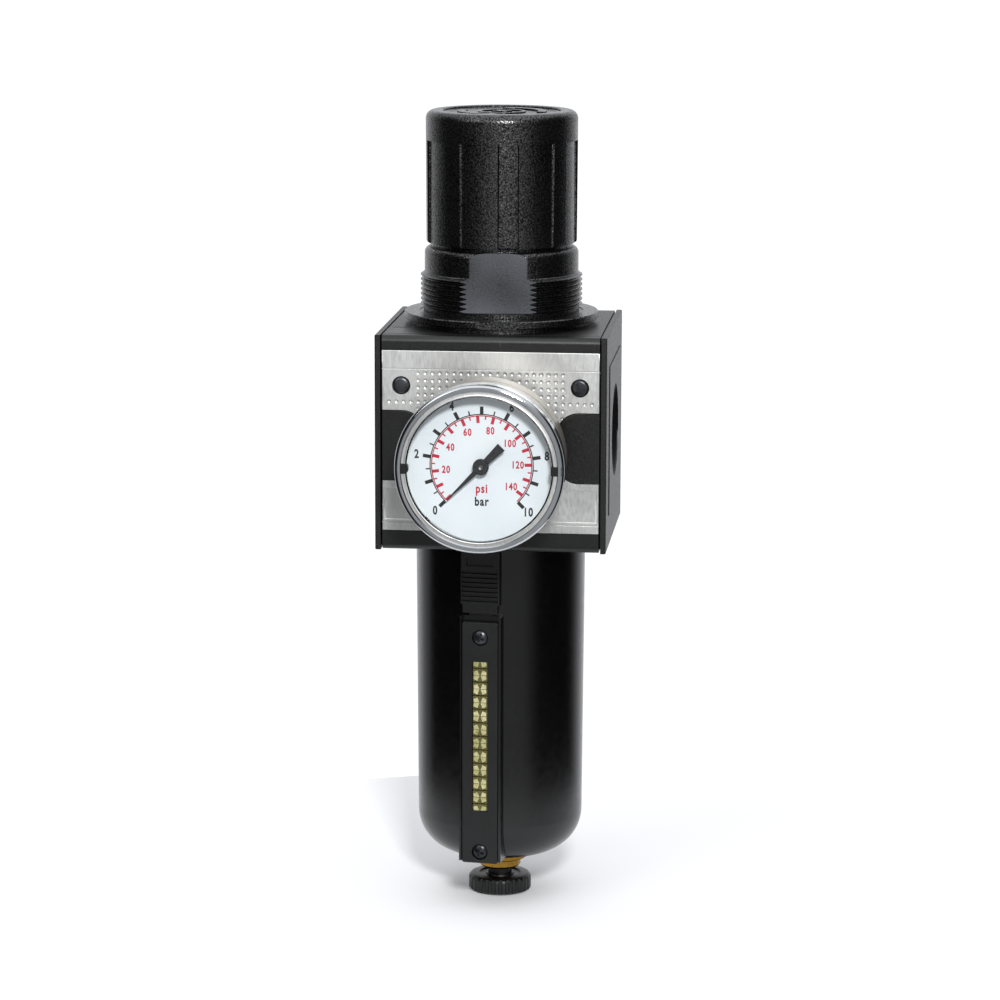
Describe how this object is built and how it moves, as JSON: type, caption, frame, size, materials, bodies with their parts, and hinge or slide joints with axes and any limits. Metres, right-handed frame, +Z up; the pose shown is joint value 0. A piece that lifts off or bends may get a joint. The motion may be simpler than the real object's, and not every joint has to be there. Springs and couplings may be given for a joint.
{
  "type": "air pressure regulator",
  "caption": "Inline compressed-air filter-regulator: locking knob, threaded bonnet, ported block with front gauge, metal filter bowl with sight glass and drain.",
  "frame": {"origin": "where the common axis of the two ports crosses the vertical axis, at the centre of the square body", "axes": "+Z up through the knob, +X along the port axis towards the outlet, the gauge and front plate face -Y"},
  "size_m": [0.071, 0.1017, 0.2476],
  "materials": {
    "casting_black": "satin black paint",
    "bowl_paint": "semi-gloss black paint",
    "moulding_black": "fine satin",
    "grained_black": "grained glass-filled nylon",
    "zinc_plate": "satin die-cast",
    "chrome_trim": "polished",
    "steel": "satin",
    "brass": "turned",
    "rubber": "matte",
    "dial_face": "matt printed",
    "pointer_black": "matt black",
    "sight_prism": "clear prism",
    "window_clear": "clear",
    "filter_media": "sintered",
    "ring_plastic": "moulded"
  },
  "bodies": {
    "housing": {"body": "casting_black", "front_cover": "moulding_black", "front_plate": "zinc_plate", "plate_pin_left": "moulding_black", "plate_pin_right": "moulding_black", "back_cover": "moulding_black", "rear_plug": "steel", "bonnet": "grained_black", "diaphragm": "rubber", "slip_ring": "ring_plastic", "range_spring": "steel", "valve_spring": "steel", "valve_carrier": "ring_plastic", "swirl_deflector": "moulding_black", "filter_element": "filter_media", "baffle": "moulding_black", "filter_nut": "moulding_black", "gauge_socket": "brass", "gauge_case": "steel", "gauge_bezel": "chrome_trim", "gauge_window": "window_clear", "gauge_dial": "dial_face", "gauge_movement": "brass", "bourdon_tube": "brass"},
    "adjuster": {"adjusting_spindle": "steel", "thrust_washer": "steel"},
    "knob": {"knob": "grained_black", "knob_cap": "grained_black"},
    "spring_nut": {"spring_nut": "brass"},
    "plates": {"diaphragm_plate": "zinc_plate", "relief_seat": "brass"},
    "valve": {"valve_poppet": "brass", "poppet_seal": "rubber"},
    "pointer": {"gauge_pointer": "pointer_black", "gauge_pinion": "brass"},
    "sector": {"gauge_sector": "brass"},
    "bowl": {"bowl": "bowl_paint", "bowl_ring": "rubber", "latch_spring": "steel", "sight_glass": "sight_prism", "sight_gasket": "rubber", "sight_cover": "casting_black", "cover_screw_upper": "steel", "cover_screw_lower": "steel", "drain_body": "brass", "drain_spring": "steel"},
    "latch": {"bowl_latch": "moulding_black"},
    "drain_stem": {"drain_stem": "moulding_black", "drain_seal": "rubber"},
    "drain_wheel": {"drain_wheel": "moulding_black"}
  },
  "joints": [
    {"name": "knob_turn", "type": "hinge", "parent": "housing", "child": "adjuster", "pos_m": [0, 0, 0.07], "axis": [0, 0, -1], "range_deg": [0, 1800]},
    {"name": "knob_lift", "type": "slide", "parent": "adjuster", "child": "knob", "axis": [0, 0, 1], "range_m": [0, 0.003]},
    {"name": "nut_slide", "type": "slide", "parent": "housing", "child": "spring_nut", "axis": [0, 0, -1], "range_m": [0, 0.00751], "deforming": ["range_spring"]},
    {"name": "diaphragm_move", "type": "slide", "parent": "housing", "child": "plates", "axis": [0, 0, -1], "range_m": [0, 0.0012], "deforming": ["diaphragm"]},
    {"name": "valve_open", "type": "slide", "parent": "housing", "child": "valve", "axis": [0, 0, -1], "range_m": [0, 0.0012], "stiffness_N_per_m": 800, "springref_m": -0.002, "deforming": ["valve_spring"]},
    {"name": "pointer_turn", "type": "hinge", "parent": "housing", "child": "pointer", "pos_m": [0, -0.06, -0.002], "axis": [0, 1, 0], "range_deg": [0, 270], "stiffness_Nm_per_rad": 0.00002, "springref_deg": -57.3},
    {"name": "sector_turn", "type": "hinge", "parent": "housing", "child": "sector", "pos_m": [0, -0.05, -0.0127], "axis": [0, 1, 0], "range_deg": [-48.1, 0]},
    {"name": "bowl_turn", "type": "hinge", "parent": "housing", "child": "bowl", "pos_m": [0, 0, -0.03], "axis": [0, 0, 1], "range_deg": [0, 45]},
    {"name": "latch_slide", "type": "slide", "parent": "bowl", "child": "latch", "axis": [0, 0, -1], "range_m": [0, 0.002], "stiffness_N_per_m": 500, "springref_m": -0.002, "deforming": ["latch_spring"]},
    {"name": "drain_push", "type": "slide", "parent": "bowl", "child": "drain_stem", "axis": [0, 0, 1], "range_m": [0, 0.002], "stiffness_N_per_m": 400, "springref_m": -0.002, "deforming": ["drain_spring"]},
    {"name": "drain_turn", "type": "hinge", "parent": "drain_stem", "child": "drain_wheel", "pos_m": [0, 0, -0.146], "axis": [0, 0, 1], "range_deg": [0, 90]}
  ],
  "couplings": [
    {"joint": "nut_slide", "follows": "knob_turn", "m_per_rad": 0.00023873},
    {"joint": "valve_open", "follows": "diaphragm_move", "ratio": 1},
    {"joint": "sector_turn", "follows": "pointer_turn", "ratio": -0.17778}
  ]
}
